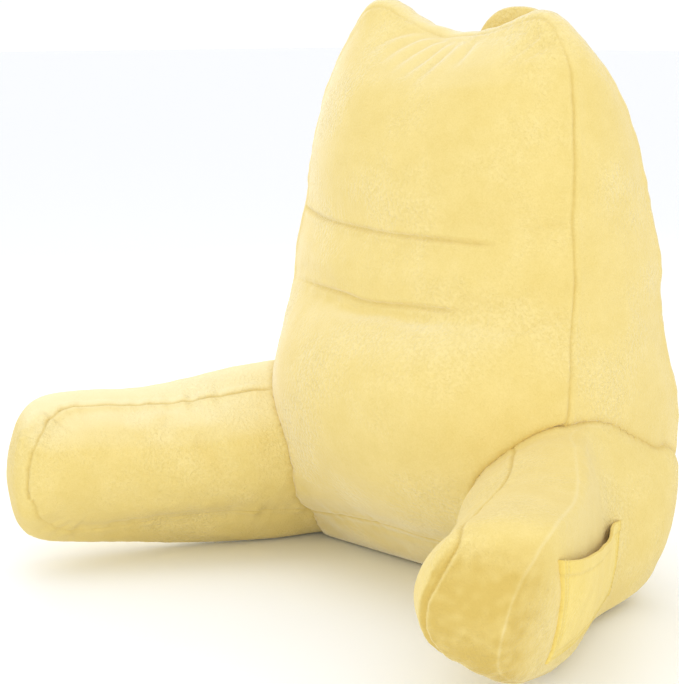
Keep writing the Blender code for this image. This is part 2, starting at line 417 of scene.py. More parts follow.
def fillUp(piece, seams, neighbours):
    # pressure swells the cover between its seams, which stay where they are sewn
    mesh = piece.data
    rest = coordsOf(mesh)
    sewnAt = distanceTo(rest, np.vstack(seams))[0]
    hold = np.exp(-(sewnAt / filling["sewnReach"]) ** 2)
    for other in neighbours:
        near = np.array([other.find_nearest(Vector(p))[3] for p in rest])
        hold = np.maximum(hold, np.clip(filling["heldEdge"] - near / filling["heldReach"], 0, 1))
    start = rest - normalsOf(mesh) * (filling["inset"] * (1 - hold))[:, None]
    low = np.clip(rest[:, 2] / filling["footHeight"], 0, 1)
    setCoords(mesh, start)
    group = piece.vertex_groups.new(name="held")
    for i, weight in enumerate(hold):
        if weight > 0.02:
            group.add([i], float(weight), "REPLACE")
    cloth = piece.modifiers.new("filling", "CLOTH")
    cloth.settings.use_pressure = True
    cloth.settings.uniform_pressure_force = filling["pressure"]
    cloth.settings.effector_weights.gravity = 0
    cloth.settings.vertex_group_mass = "held"
    cloth.settings.shrink_min = -filling["ease"]
    cloth.settings.quality = filling["quality"]
    cloth.collision_settings.use_collision = False
    cloth.point_cache.frame_start = 1
    cloth.point_cache.frame_end = filling["frames"]
    for number in range(1, filling["frames"] + 1):
        scene.frame_set(number)
    graph = bpy.context.evaluated_depsgraph_get()
    moved = coordsOf(piece.evaluated_get(graph).data)
    piece.modifiers.clear()
    piece.vertex_groups.clear()
    # how far a point may swell, sink or slide sideways
    normals = normalsOfShape(mesh, rest)
    step = moved - rest
    out = (step * normals).sum(1)
    aside = step - out[:, None] * normals
    cap = filling["cap"] * (filling["footShare"] + (1 - filling["footShare"]) * low)
    out = np.where(out > 0, cap * np.tanh(out / cap), filling["sink"] * np.tanh(out / filling["sink"]))
    far = np.linalg.norm(aside, axis=1)
    aside *= (filling["slide"] * np.tanh(far / filling["slide"]) / np.maximum(far, 1e-9))[:, None]
    moved = evened(rest + out[:, None] * normals + aside, mesh, filling["settle"])
    moved[:, 2] = np.maximum(moved[:, 2], filling["floorGap"])
    setCoords(mesh, moved)
    print("filled:", piece.name, len(mesh.vertices), "points, by up to", round(float(out.max()), 4))


def meet(piece, other, reach, overlap=0.0015):
    # the cover is sewn to its neighbour: it closes the gap near it and goes no deeper than the seam
    tree = treeOf(other)
    mesh = piece.data
    coords = coordsOf(mesh)
    for i, p in enumerate(coords):
        p = Vector(p)
        spot, normal, _, distance = tree.find_nearest(p, reach * 2.5)
        if spot is None:
            continue
        target = spot - normal * overlap
        if (p - spot).dot(normal) < 0:
            if distance > overlap:
                coords[i] = target
        elif distance < reach:
            coords[i] = p + (target - p) * (1 - distance / reach) ** filling["meetPull"]
    setCoords(mesh, coords)


crease = {
    "width": 0.0045,
    # mark, width and shadeReach set the painted shade along the crease
    "mark": 0.40,
    "pucker": 0.0008,
    "puckerScale": 75.0,
    "puckerReach": 0.013,
    "search": 0.01,
    "crowdReach": 0.03,
    "crowdShare": 0.4,
    "farthest": 0.03,
    "shadeReach": 0.015,
}


def creaseOf(arm, other):
    # the places where the arm's cover passes into its neighbour's
    tree = treeOf(other)
    mesh = arm.data
    coords = coordsOf(mesh)
    depth = np.full(len(coords), 1.0)
    for i, p in enumerate(coords):
        p = Vector(p)
        spot, normal, _, distance = tree.find_nearest(p, crease["search"])
        if spot is not None:
            depth[i] = distance if (p - spot).dot(normal) > 0 else -distance
    ends = np.empty(len(mesh.edges) * 2, int)
    mesh.edges.foreach_get("vertices", ends)
    a, b = ends[0::2], ends[1::2]
    crossing = (depth[a] > 0) != (depth[b] > 0)
    middles = (coords[a[crossing]] + coords[b[crossing]]) / 2
    # short loose bits away from the long crease are left out
    finder = KDTree(len(middles))
    for i, p in enumerate(middles):
        finder.insert(p, i)
    finder.balance()
    crowd = np.array([len(finder.find_range(p, crease["crowdReach"])) for p in middles])
    return middles[crowd > crease["crowdShare"] * np.median(crowd)]


def nearness(piece, points, reach=crease["farthest"]):
    return np.minimum(distanceTo(coordsOf(piece.data), points)[0], reach)


def puckerCrease(piece, points, seed):
    # small wrinkles where two cushions are sewn together
    near = nearness(piece, points)
    coords, normals = coordsOf(piece.data), normalsOf(piece.data)
    wave = drift(coords, crease["puckerScale"], seed) * crease["pucker"]
    lift = wave * np.exp(-near / crease["puckerReach"]) * (near < crease["farthest"] - 0.001)
    setCoords(piece.data, coords + normals * lift[:, None])


def shadeCrease(piece, points, noseShading=None):
    # painted shade along the crease where two cushions meet
    near = nearness(piece, points, crease["shadeReach"])
    layer = piece.data.attributes["sewn"].data
    sewn = np.empty(len(near))
    layer.foreach_get("value", sewn)
    sewn = np.maximum(sewn, crease["mark"] * np.exp(-(near / crease["width"]) ** 2))
    if noseShading:
        # painted shade on the arm's front end: darker where it faces out, forward and a little down, low on
        # the arm, mottled, and lighter under the painted highlight
        normals, coords = normalsOf(piece.data), coordsOf(piece.data)
        facing = normals @ np.array(noseShading["towards"])
        facing = np.clip((facing - noseShading["from"]) / noseShading["over"], 0, 1)
        heights, shares = zip(*noseShading["heights"])
        level = np.interp(coords[:, 2], heights, shares)
        forward = np.clip((noseShading["before"] - coords[:, 1]) / noseShading["blend"], 0, 1)
        highlighted = np.empty(len(near))
        piece.data.attributes["paintedHighlight"].data.foreach_get("value", highlighted)
        mottled = 1 + sum(share * drift(coords, scale, seed) for scale, share, seed in noseShading["mottle"])
        plain = 1 - np.minimum(noseShading["ridge"] * highlighted, 1)
        sewn += noseShading["mark"] * facing * level * forward * mottled * plain
    layer.foreach_set("value", np.clip(sewn, 0, 1))


def subdivided(piece):
    finer = piece.modifiers.new("finer", "SUBSURF")
    finer.levels = 1
    finer.render_levels = 1
    bakeModifiers(piece)


def refineNear(piece, lines, reach):
    # a finer mesh where seams and folds need it
    coords = coordsOf(piece.data)
    near = distanceTo(coords, np.vstack(lines))[0] < reach
    work = bmesh.new()
    work.from_mesh(piece.data)
    work.verts.ensure_lookup_table()
    edges = [e for e in work.edges if near[e.verts[0].index] and near[e.verts[1].index]]
    bmesh.ops.subdivide_edges(work, edges=edges, cuts=1, use_grid_fill=True)
    work.to_mesh(piece.data)
    work.free()


stitching = {
    "grooveDepth": 0.0020,
    "grooveWidth": 0.0020,
    "lipHeight": 0.0006,
    "lipPlace": 0.0060,
    "lipWidth": 0.0035,
    "puckerDepth": 0.0024,
    "puckerReach": 0.012,
    "puckerPitch": 0.013,
    "waveWidth": 0.0012,
    "wavePitch": 0.030,
    "markWidth": 0.0015,
    "stillNear": 0.003,
    "calmest": 0.35,
    "calmPitch": 0.17,
    "busySwing": 1.6,
    "busyMiddle": 0.4,
    "refine": 0.011,
    "wanderSeed": 1,
}
# noise_vector starts from the clock unless it is seeded
noise.seed_set(stitching["wanderSeed"])


def wavy(line, seed):
    # a stitched line wanders a little sideways, as the plush pulls at it
    s = stitching
    steps = [i * lineStep / s["wavePitch"] for i in range(len(line))]
    shift = [noise.noise_vector(Vector((step, seed * 4.7, 1.9))) for step in steps]
    return line + np.array(shift) * s["waveWidth"]


def seamRelief(coords, line, seam, seed):
    # a groove or a raised ridge along the stitch line, a soft lip at each side, and puckers that die away
    distance, place = distanceTo(coords, line)
    s = stitching
    hold = np.interp(coords[:, 2], [z for z, _ in seam["hold"]], [h for _, h in seam["hold"]])
    ridge = seam.get("ridge")
    depth = (ridge or -s["grooveDepth"]) * hold
    groove = depth * np.exp(-(distance / (s["grooveWidth"] * seam.get("narrow", 1.0))) ** 2)
    lip = 0 if ridge else s["lipHeight"] * np.exp(-((distance - s["lipPlace"]) / s["lipWidth"]) ** 2) * hold
    along = place * lineStep / s["puckerPitch"]
    wave = np.array([noise.noise(Vector((a, seed * 9.1, 0.3))) for a in along])
    # some stretches pucker more than others
    busy = np.array([noise.noise(Vector((a * s["calmPitch"], seed * 5.3, 7.7))) for a in along])
    calm = s["calmest"] + (1 - s["calmest"]) * np.maximum(0, s["busySwing"] * busy + s["busyMiddle"])
    fading = np.exp(-distance / s["puckerReach"]) * (1 - np.exp(-distance / s["stillNear"]))
    pucker = s["puckerDepth"] * wave * calm * fading
    mark = np.exp(-(distance / s["markWidth"]) ** 2) * hold
    return groove + lip + pucker * seam.get("pucker", 1.0), mark


def foldRelief(coords, line, fold):
    # one fold: a trough that fades towards both ends, with a raised brow at each side
    distance, place = distanceTo(coords, line)
    share = place / max(1, len(line) - 1)
    fadeIn = np.clip(share / max(fold["fadeIn"], 1e-3), 0, 1)
    fadeOut = np.clip((1 - share) / max(fold["fadeOut"], 1e-3), 0, 1)
    fade = np.sin(fadeIn * math.pi / 2) * np.sin(fadeOut * math.pi / 2)
    trough = -fold["depth"] * np.exp(-(distance / fold["width"]) ** 2)
    widths = distance / fold["width"]
    brow = fold["brow"] * fold["depth"] * np.exp(-((widths - 2.2) / 1.4) ** 2)
    # painted shade along the bottom of the fold
    shadow = fold["shadow"] * np.exp(-(widths / 0.45) ** 2)
    return (trough + brow) * fade, shadow * fade


softness = {
    "lumpScale": 11.0,
    "lumpHeight": 0.0030,
    "napScale": 60.0,
    "napHeight": 0.0006,
    "napPatch": 7.5,
    "patchMiddle": 0.55,
    "patchSwing": 1.4,
    "paleFrom": 0.45,
    "ridgePale": 0.40,
    "seamAndFoldDark": 0.6,
    "footHeight": 0.02,
}


def dressed(piece, seams, folds, seed, pale, nap=1.0):
    # lumps of the filling, seams, folds and the nap, as real relief
    tree = treeOf(piece)
    seamLines = [laidOn(wavy(s["line"], seed + i), tree) for i, s in enumerate(seams)]
    foldLines = [(laidOn(smoothLine(f["path"]), tree), f) for f in folds]
    lines = seamLines + [line for line, f in foldLines]
    if lines:
        refineNear(piece, lines, stitching["refine"])
    mesh = piece.data
    coords, normals = coordsOf(mesh), normalsOf(mesh)
    lift = nap * softness["lumpHeight"] * drift(coords, softness["lumpScale"], seed)
    grounded = np.clip((coords[:, 2] - 0.001) / softness["footHeight"], 0, 1)
    sewn, paintedHighlight = np.zeros(len(coords)), np.zeros(len(coords))
    for i, (line, seam) in enumerate(zip(seamLines, seams)):
        relief, mark = seamRelief(coords, line, seam, seed + i)
        lift += relief
        if seam.get("ridge"):
            paintedHighlight = np.maximum(paintedHighlight, mark)
        else:
            sewn = np.maximum(sewn, mark)
    for line, fold in foldLines:
        relief, shadow = foldRelief(coords, line, fold)
        lift += relief
        sewn = np.maximum(sewn, shadow)
    swing = softness["patchSwing"] * drift(coords, softness["napPatch"], seed + 2)
    patch = np.clip(softness["patchMiddle"] + swing, 0.1, 1)
    lift += nap * softness["napHeight"] * patch * drift(coords, softness["napScale"], seed + 3)
    setCoords(mesh, coords + normals * (lift * grounded)[:, None])
    # painted highlight: the cover is painted paler where it faces up towards the light above, and along the
    # ridged seams
    upward = np.clip((normals[:, 2] - softness["paleFrom"]) / (1 - softness["paleFrom"]), 0, 1)
    paintedHighlight = np.maximum(softness["ridgePale"] * paintedHighlight, pale * upward)
    # seam lines and the painted shade in folds, scaled by one share
    for name, values in (("sewn", softness["seamAndFoldDark"] * sewn), ("paintedHighlight", paintedHighlight)):
        layer = mesh.attributes.new(name, "FLOAT", "POINT")
        layer.data.foreach_set("value", np.clip(values, 0, 1))
    mesh.shade_smooth()
    print("dressed:", piece.name, len(mesh.polygons), "faces")


def finishPiece(piece, fill, *nodes, material=paleYellow):
    piece.data.materials.clear()
    piece.data.materials.append(material)
    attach(piece, "root")
    if nodes:
        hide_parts(*nodes)


# backrest

back = {"voxel": 0.0055, "fill": 0.75, "pale": 0.35}
# the side seams: height, half width, where the front and the rear seam lie
backSides = [
    (0.045, 0.174, 0.040, 0.178), (0.075, 0.196, 0.026, 0.193), (0.120, 0.202, 0.020, 0.207),
    (0.166, 0.204, 0.021, 0.215), (0.212, 0.207, 0.031, 0.206), (0.265, 0.197, 0.043, 0.193),
    (0.325, 0.194, 0.052, 0.188), (0.377, 0.184, 0.057, 0.184), (0.444, 0.179, 0.065, 0.171),
    (0.492, 0.170, 0.072, 0.155), (0.534, 0.158, 0.079, 0.133),
]
# the top seam from the right ear to the left one: across, height
backTop = [(0.126, 0.570), (0.098, 0.571), (0.065, 0.562), (0.030, 0.555), (0.000, 0.554),
           (-0.030, 0.561), (-0.065, 0.574), (-0.098, 0.584), (-0.126, 0.574)]
backTopDepth = {"front": 0.084, "rear": 0.113}
# the bottom seam: across, how far it bows out and how much it rises in the middle
backBottom = {"bow": 0.020, "rise": 0.012}


def backSeams():
    seams = []
    for column, top, out in ((2, backTopDepth["front"], -1), (3, backTopDepth["rear"], 1)):
        right = [(row[1], row[column], row[0]) for row in backSides]
        left = [(-row[1], row[column], row[0]) for row in backSides]
        over = [(x, top, z) for x, z in backTop]
        base = backSides[0]
        middle = (0, base[column] + out * backBottom["bow"], base[0] + backBottom["rise"])
        line = smoothLine(right + over + left[::-1] + [middle], closed=True)
        seams.append({"line": line, "hold": [(0, 0.8), (0.5, 1.0), (0.55, 0.45)]})
    return seams


# folds: their depth and width, the raised brow at each side, the painted shade along them, and the share of
# their length over which they fade at each end
lumbarCrease = {"depth": 0.0026, "width": 0.0024, "brow": 0.45, "shadow": 0.42, "fadeIn": 0.06, "fadeOut": 0.1}
lumbarEnd = {"depth": 0.0014, "width": 0.0040, "brow": 0.3, "shadow": 0.15, "fadeIn": 0.6, "fadeOut": 0.2}
gather = {"depth": 0.0024, "width": 0.0052, "brow": 0.45, "shadow": 0.20, "fadeIn": 0.25, "fadeOut": 0.6}
backFolds = [
    # the two stitched channels across the lower back, each fading before the right side
    {"path": [(-0.178, 0.050, 0.373), (-0.124, 0.026, 0.367), (-0.064, 0.011, 0.364), (0.012, 0.007, 0.362),
              (0.073, 0.012, 0.361), (0.124, 0.023, 0.360)], **lumbarCrease},
    {"path": [(0.140, 0.035, 0.374), (0.163, 0.044, 0.380), (0.186, 0.056, 0.382)], **lumbarEnd},
    {"path": [(-0.186, 0.042, 0.297), (-0.072, 0.001, 0.297), (-0.025, -0.003, 0.293),
              (0.039, -0.003, 0.295), (0.096, 0.004, 0.295)], **lumbarCrease, "fadeIn": 0.45},
    {"path": [(0.100, 0.006, 0.290), (0.132, 0.012, 0.281), (0.163, 0.027, 0.287), (0.194, 0.050, 0.299)],
     **lumbarEnd},
]
# gathers that fan from the dip in the top seam
gatherPaths = [
    [(0.006, 0.085, 0.556), (-0.038, 0.079, 0.560), (-0.066, 0.066, 0.554), (-0.086, 0.050, 0.538)],
    [(0.004, 0.084, 0.553), (-0.026, 0.076, 0.553), (-0.047, 0.062, 0.543), (-0.062, 0.044, 0.524)],
    [(0.010, 0.082, 0.552), (-0.010, 0.073, 0.548), (-0.026, 0.058, 0.538), (-0.040, 0.040, 0.516)],
    [(0.014, 0.080, 0.551), (0.004, 0.068, 0.543), (-0.006, 0.052, 0.530), (-0.021, 0.036, 0.508)],
    [(0.022, 0.078, 0.549), (0.018, 0.062, 0.540), (0.010, 0.046, 0.525), (-0.002, 0.034, 0.504)],
    [(0.040, 0.078, 0.551), (0.042, 0.060, 0.538), (0.040, 0.046, 0.522)],
    [(0.122, 0.080, 0.560), (0.106, 0.064, 0.543), (0.094, 0.052, 0.525)],
    [(0.138, 0.080, 0.553), (0.120, 0.068, 0.540), (0.106, 0.056, 0.524)],
]
backFolds += [{"path": path, **gather} for path in gatherPaths]

# the lower front corners are stuffed full and press on the arms, and the ears stand up
cornerPuff = {"place": (0.160, 0.006, 0.062), "push": (0.018, -0.016, 0.0), "reach": 0.045}
earPuff = {"place": (0.098, 0.098, 0.582), "push": (0.002, 0.0, 0.009), "reach": 0.036}


def puffUp(piece, puff, sides=(1, -1)):
    # pushes the cover out round one place, on the named sides
    coords = coordsOf(piece.data)
    for side in sides:
        place = np.array(puff["place"]) * (side, 1, 1)
        push = np.array(puff["push"]) * (side, 1, 1)
        near = np.exp(-(np.linalg.norm(coords - place, axis=1) / puff["reach"]) ** 2)
        coords += near[:, None] * push
    coords[:, 2] = np.maximum(coords[:, 2], filling["floorGap"])
    setCoords(piece.data, coords)


# arms

arms = {"voxel": 0.0045, "fill": 0.8, "closeBy": 0.008, "sewnBy": 0.007, "paleRight": 0.0, "paleLeft": 0.65}
# the right arm's inner panel seam, along the top from the rear end and back under the nose
innerSeam = [
    (0.133, 0.219, 0.140), (0.129, 0.196, 0.148), (0.134, 0.105, 0.170), (0.164, 0.001, 0.180),
    (0.200, -0.046, 0.174), (0.228, -0.088, 0.169), (0.260, -0.160, 0.163), (0.290, -0.204, 0.166),
    (0.304, -0.229, 0.161), (0.303, -0.238, 0.150), (0.297, -0.246, 0.130), (0.289, -0.244, 0.112),
    (0.287, -0.241, 0.090), (0.291, -0.229, 0.071), (0.297, -0.182, 0.045), (0.265, -0.131, 0.041),
    (0.242, -0.102, 0.043), (0.192, -0.048, 0.048), (0.164, 0.001, 0.046), (0.134, 0.105, 0.044),
    (0.129, 0.196, 0.055), (0.133, 0.219, 0.085),
]
# its outer panel seam, the same way round
outerSeam = [
    (0.193, 0.219, 0.140), (0.197, 0.199, 0.148), (0.204, 0.122, 0.178), (0.212, 0.031, 0.195),
    (0.242, -0.006, 0.189), (0.271, -0.040, 0.181), (0.308, -0.088, 0.173), (0.342, -0.148, 0.173),
    (0.354, -0.181, 0.166), (0.354, -0.197, 0.152), (0.352, -0.209, 0.137), (0.347, -0.218, 0.111),
    (0.339, -0.218, 0.078), (0.330, -0.205, 0.052), (0.318, -0.150, 0.036), (0.297, -0.082, 0.022),
    (0.255, 0.004, 0.016), (0.228, 0.048, 0.014), (0.221, 0.126, 0.018), (0.201, 0.199, 0.050),
    (0.193, 0.219, 0.080),
]
# the left arm's inner seam lies a little differently, as two stuffed arms never match
innerSeamLeft = [
    (0.133, 0.219, 0.140), (0.129, 0.196, 0.148), (0.134, 0.105, 0.170), (0.164, 0.016, 0.179),
    (0.186, -0.019, 0.179), (0.221, -0.069, 0.173), (0.251, -0.117, 0.170), (0.282, -0.179, 0.172),
    (0.284, -0.209, 0.164), (0.280, -0.225, 0.149), (0.279, -0.233, 0.131), (0.280, -0.235, 0.107),
    (0.283, -0.232, 0.086), (0.287, -0.224, 0.064), (0.297, -0.182, 0.045), (0.265, -0.131, 0.041),
    (0.242, -0.102, 0.043), (0.192, -0.048, 0.048), (0.164, 0.001, 0.046), (0.134, 0.105, 0.044),
    (0.129, 0.196, 0.055), (0.133, 0.219, 0.085),
]
innerHold = [(0.03, 0.25), (0.06, 0.45), (0.10, 1.0)]
outerHold = [(0.02, 0.5), (0.10, 0.8), (0.17, 0.6), (0.19, 0.25)]
leftSeamLook = {"pucker": 3.4}
outerSeamLook = {"ridge": 0.0007, "narrow": 0.7, "pucker": 0.3}


def armSeams(side):
    seams = []
    inner = (innerSeam, innerHold, {}) if side > 0 else (innerSeamLeft, innerHold, leftSeamLook)
    for points, hold, more in (inner, (outerSeam, outerHold, outerSeamLook)):
        line = smoothLine([(side * x, y, z) for x, y, z in points], closed=True)
        seams.append({"line": line, "hold": hold, **more})
    return seams


# painted shade on the front end of each arm, where it faces out, forward and a little down
noseShade = {
    "towards": (0.62, -0.76, -0.20),
    "from": 0.45,
    "over": 0.35,
    "heights": [(0.0, 1.0), (0.14, 1.0), (0.180, 0.0)],
    "before": -0.12,
    "blend": 0.03,
    "mottle": [(40.0, 0.25, 5), (110.0, 0.45, 6)],
    "ridge": 1.2,
    "mark": {1: 0.90, -1: 0.20},
}
# the rear ends rise to meet the backrest's lower corners
rearPuff = {"place": (0.196, 0.180, 0.130), "push": (0.006, 0.005, 0.012), "reach": 0.036}
# the noses are full on their inner side; the left one sags, and its arm stands higher by the backrest
nosePuff = {"place": (0.280, -0.232, 0.095), "push": (-0.010, -0.010, 0.0), "reach": 0.060}
leftSag = {"place": (0.335, -0.235, 0.045), "push": (0.004, -0.006, -0.014), "reach": 0.055}
leftFoot = {"place": (0.295, -0.185, 0.015), "push": (-0.004, -0.004, -0.010), "reach": 0.070}
leftRise = {"place": (0.205, 0.020, 0.195), "push": (0.0, 0.0, 0.008), "reach": 0.070}

# a soft fold across the left arm's inner side
leftArmFold = {
    "path": [(-0.190, -0.096, 0.142), (-0.171, -0.083, 0.126), (-0.160, -0.074, 0.111),
             (-0.156, -0.065, 0.096)],
    "depth": 0.0042, "width": 0.012, "brow": 0.35, "shadow": 0.0, "fadeIn": 0.4, "fadeOut": 0.5,
}

# make the cushions

armRight = shellFrom("armRightCushion", "arm_right", arms["voxel"])
armLeft = shellFrom("armLeftCushion", "arm_left", arms["voxel"])
backrest = shellFrom("backrestCushion", "backrest", back["voxel"])
backSeamSet = backSeams()
rightSeamSet = armSeams(1)
leftSeamSet = armSeams(-1)
fillUp(armRight, [s["line"] for s in rightSeamSet], [nodeTree("backrest")])
fillUp(armLeft, [s["line"] for s in leftSeamSet], [nodeTree("backrest")])
fillUp(backrest, [s["line"] for s in backSeamSet], [nodeTree("arm_right"), nodeTree("arm_left")])
for puff in (cornerPuff, earPuff):
    puffUp(backrest, puff)
for puff in (leftSag, leftFoot, leftRise):
    puffUp(armLeft, puff, (-1,))
for arm in (armRight, armLeft):
    puffUp(arm, rearPuff)
    puffUp(arm, nosePuff)
    meet(arm, backrest, arms["closeBy"])
for cushion in (armRight, armLeft, backrest):
    subdivided(cushion)
# piece, seams, folds, seed, how strong the painted highlight is where the cover faces up
dressed(backrest, backSeamSet, backFolds, 1, back["pale"])
dressed(armRight, rightSeamSet, [], 11, arms["paleRight"])
dressed(armLeft, leftSeamSet, [leftArmFold], 21, arms["paleLeft"])
creases = []
for side, arm in ((1, armRight), (-1, armLeft)):
    puckerCrease(arm, creaseOf(arm, backrest), 43)
    meet(arm, backrest, arms["sewnBy"])
    creases.append(creaseOf(arm, backrest))
    x, y, z = noseShade["towards"]
    noseShading = {**noseShade, "towards": (side * x, y, z), "mark": noseShade["mark"][side]}
    shadeCrease(arm, creases[-1], noseShading)
shadeCrease(backrest, np.vstack(creases))
finishPiece(backrest, back["fill"], "backrest")
finishPiece(armRight, arms["fill"], "arm_right", material=armYellow)
finishPiece(armLeft, arms["fill"], "arm_left", material=armYellow)
print("stage: cushions")

# handle

strap = {"voxel": 0.0022, "fill": 0.6, "pale": 0.0, "nap": 0.3}
handle = shellFrom("carryHandle", "handle", strap["voxel"])
subdivided(handle)
dressed(handle, [], [], 31, strap["pale"], strap["nap"])
finishPiece(handle, strap["fill"], "handle")
print("stage: handle")

# stitches

thread = {
    "colour": (0.90, 0.74, 0.28),
    "dark": 0.82,
    "twistScale": 900,
    "roughness": 0.6,
    "length": 0.0030,
    "width": 0.0007,
    "pitch": 0.0042,
}


def threadMaterial():
    material = bpy.data.materials.new("yellowThread")
    material.use_nodes = True
    tree = material.node_tree
    shader = tree.nodes["Principled BSDF"]
    shader.inputs["Roughness"].default_value = thread["roughness"]
    place = tree.nodes.new("ShaderNodeTexCoord")
    twist = tree.nodes.new("ShaderNodeTexNoise")
    twist.inputs["Scale"].default_value = thread["twistScale"]
    tree.links.new(place.outputs["Object"], twist.inputs["Vector"])
    ramp = tree.nodes.new("ShaderNodeValToRGB")
    ramp.color_ramp.elements[0].color = (*[c * thread["dark"] for c in thread["colour"]], 1)
    ramp.color_ramp.elements[1].color = (*thread["colour"], 1)
    tree.links.new(twist.outputs["Fac"], ramp.inputs["Fac"])
    tree.links.new(ramp.outputs["Color"], shader.inputs["Base Color"])
    return material


yellowThread = threadMaterial()


def stitchTree():
    # a stitch at every step along the path, turned to follow it
    tree = bpy.data.node_groups.new("stitchRow", "GeometryNodeTree")
    face = tree.interface
    face.new_socket("Geometry", in_out="INPUT", socket_type="NodeSocketGeometry")
    sockets = {}
    for name in ("Pitch", "Stitch Length", "Thread Width"):
        sockets[name] = face.new_socket(name, in_out="INPUT", socket_type="NodeSocketFloat").identifier
    face.new_socket("Geometry", in_out="OUTPUT", socket_type="NodeSocketGeometry")
    nodes, links = tree.nodes, tree.links
    start, end = nodes.new("NodeGroupInput"), nodes.new("NodeGroupOutput")
    curve = nodes.new("GeometryNodeMeshToCurve")
    even = nodes.new("GeometryNodeResampleCurve")
    even.mode = "LENGTH"
    bead = nodes.new("GeometryNodeMeshIcoSphere")
    bead.inputs["Subdivisions"].default_value = 1
    bead.inputs["Radius"].default_value = 0.5
    size = nodes.new("ShaderNodeCombineXYZ")
    stretch = nodes.new("GeometryNodeTransform")
    tangent = nodes.new("GeometryNodeInputTangent")
    align = nodes.new("FunctionNodeAlignRotationToVector")
    align.axis = "X"
    onPoints = nodes.new("GeometryNodeInstanceOnPoints")
    real = nodes.new("GeometryNodeRealizeInstances")
    paint = nodes.new("GeometryNodeSetMaterial")
    paint.inputs["Material"].default_value = yellowThread
    links.new(start.outputs["Geometry"], curve.inputs["Mesh"])
    links.new(curve.outputs["Curve"], even.inputs["Curve"])
    links.new(start.outputs["Pitch"], even.inputs["Length"])
    links.new(start.outputs["Stitch Length"], size.inputs["X"])
    links.new(start.outputs["Thread Width"], size.inputs["Y"])
    links.new(start.outputs["Thread Width"], size.inputs["Z"])
    links.new(bead.outputs["Mesh"], stretch.inputs["Geometry"])
    links.new(size.outputs["Vector"], stretch.inputs["Scale"])
    links.new(tangent.outputs["Tangent"], align.inputs["Vector"])
    links.new(even.outputs["Curve"], onPoints.inputs["Points"])
    links.new(stretch.outputs["Geometry"], onPoints.inputs["Instance"])
    links.new(align.outputs["Rotation"], onPoints.inputs["Rotation"])
    links.new(onPoints.outputs["Instances"], real.inputs["Geometry"])
    links.new(real.outputs["Geometry"], paint.inputs["Geometry"])
    links.new(paint.outputs["Geometry"], end.inputs["Geometry"])
    return tree, sockets


rowTree, rowSockets = stitchTree()


def stitchRows(name, paths):
    mesh = bpy.data.meshes.new(name)
    points, edges = [], []
    for path in paths:
        first = len(points)
        points += [tuple(p) for p in path]
        edges += [(first + i, first + i + 1) for i in range(len(path) - 1)]
    mesh.from_pydata(points, edges, [])
    piece = newPiece(name, mesh, yellowThread)
    rows = piece.modifiers.new("stitches", "NODES")
    rows.node_group = rowTree
    rows[rowSockets["Pitch"]] = thread["pitch"]
    rows[rowSockets["Stitch Length"]] = thread["length"]
    rows[rowSockets["Thread Width"]] = thread["width"]
    bakeModifiers(piece)
    piece.data.shade_smooth()
    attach(piece, "root")
    return piece


# pockets

pockets = {
    "wide": 0.235,
    "high": 0.085,
    "thick": 0.0024,
    "gap": 0.0006,
    "mouth": 0.006,
    "turn": 0.006,
    "hem": 0.012,
    "hemThicker": 0.45,
    "hemBlend": 0.0008,
    "roll": 0.5,
    "rollPlace": 0.002,
    "rollWidth": 0.0015,
    "rounding": 0.0008,
    "columns": 150,
    "rows": 60,
    "span": 24,
    "outerRow": 0.0045,
    "innerRow": 0.0090,
    "sunkRow": 0.0035,
    "rowWidth": 0.0011,
    "rowDepth": 0.0009,
    "wrinkle": 0.0014,
    "sinkEdge": 0.0012,
    "tone": 0.08,
    "rowTone": 0.30,
    "edgeShade": 0.25,
}
# edges by depth and height, from the top: the front edge, then the rear one
rightCut = {
    "front": [(-0.168, 0.146), (-0.163, 0.131), (-0.156, 0.116), (-0.151, 0.099), (-0.146, 0.076),
              (-0.143, 0.056), (-0.1445, 0.042)],
    "rear": [(0.0715, 0.106), (0.068, 0.086), (0.064, 0.066), (0.060, 0.050), (0.0575, 0.034)],
    "dip": 0.006,
}
leftCut = {
    "front": [(-0.167, 0.142), (-0.162, 0.128), (-0.156, 0.114), (-0.151, 0.098), (-0.146, 0.076),
              (-0.143, 0.056), (-0.1445, 0.042)],
    "rear": [(0.0695, 0.118), (0.067, 0.096), (0.064, 0.072), (0.060, 0.050), (0.0575, 0.034)],
    "dip": 0.003,
}


def bump(distance, width):
    return math.exp(-(distance / width) ** 2)


